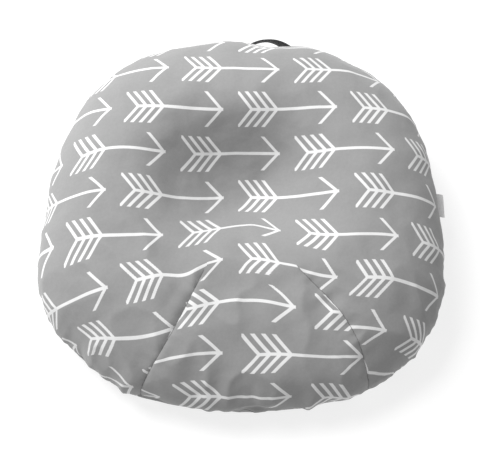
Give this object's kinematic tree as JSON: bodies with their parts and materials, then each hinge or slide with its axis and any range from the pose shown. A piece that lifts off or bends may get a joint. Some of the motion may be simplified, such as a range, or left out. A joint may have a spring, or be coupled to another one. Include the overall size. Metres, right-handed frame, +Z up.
{
  "type": "nursing pillow",
  "caption": "Dished infant nursing and lounging pillow: raised ring round a shallow dish, zipped arrow-print slipcover, grab handle at the head end.",
  "frame": {"origin": "on the floor at the middle of the base", "axes": "+Z up, +Y towards the head end that carries the handle, -Y towards the leg end, +X to the right seen from the leg end"},
  "size_m": [0.5936, 0.5889, 0.178],
  "materials": {
    "printed_fabric": "matte",
    "seam_allowance": "matte",
    "satin_ribbon": "satin",
    "webbing": "matte",
    "sewing_thread": "matte",
    "ticking": "matte",
    "polyester_fibre": "matte",
    "zipper_tape": "matte",
    "nylon_coil": "satin",
    "slider_metal": "satin"
  },
  "bodies": {
    "pillow": {"cover_top_panel": "printed_fabric", "cover_base_front_panel": "printed_fabric", "cover_base_rear_panel": "printed_fabric", "perimeter_seam_tape": "seam_allowance", "dart_seam_left": "seam_allowance", "dart_seam_right": "seam_allowance", "care_label": "satin_ribbon", "insert_label": "satin_ribbon", "zipper_tape_front": "zipper_tape", "zipper_tape_rear": "zipper_tape", "zipper_coil_front": "nylon_coil", "zipper_coil_rear": "nylon_coil", "zipper_bottom_stop": "slider_metal", "zipper_top_stop_front": "slider_metal", "zipper_top_stop_rear": "slider_metal", "handle_end_left": "webbing", "handle_end_right": "webbing", "handle_tack_left": "sewing_thread", "handle_tack_right": "sewing_thread", "insert_closing_stitch": "sewing_thread", "insert_top_shell": "ticking", "insert_bottom_shell": "ticking", "insert_seam_tape": "ticking", "inner_baffle": "ticking", "ring_fill": "polyester_fibre", "centre_fill": "polyester_fibre"},
    "slider": {"zipper_slider": "slider_metal"},
    "pull": {"zipper_pull": "slider_metal"},
    "handle_loop": {"handle_strap": "webbing"},
    "side_tag": {"side_label": "satin_ribbon"}
  },
  "joints": [
    {"name": "zipper_slide", "type": "slide", "parent": "pillow", "child": "slider", "axis": [1, 0, 0], "range_m": [0, 0.367]},
    {"name": "pull_swing", "type": "hinge", "parent": "slider", "child": "pull", "pos_m": [-0.1813, 0.118, 0.00255], "axis": [0, 1, 0], "range_deg": [0, 175]},
    {"name": "handle_swing", "type": "hinge", "parent": "pillow", "child": "handle_loop", "pos_m": [0.038, 0.291, 0.07], "axis": [1, 0, 0], "range_deg": [-40, 40], "stiffness_Nm_per_rad": 0.001},
    {"name": "side_tag_flap", "type": "hinge", "parent": "pillow", "child": "side_tag", "pos_m": [0.29088, 0.026, 0.06233], "axis": [0, 1, 0], "range_deg": [-60, 60], "stiffness_Nm_per_rad": 0.0001}
  ]
}
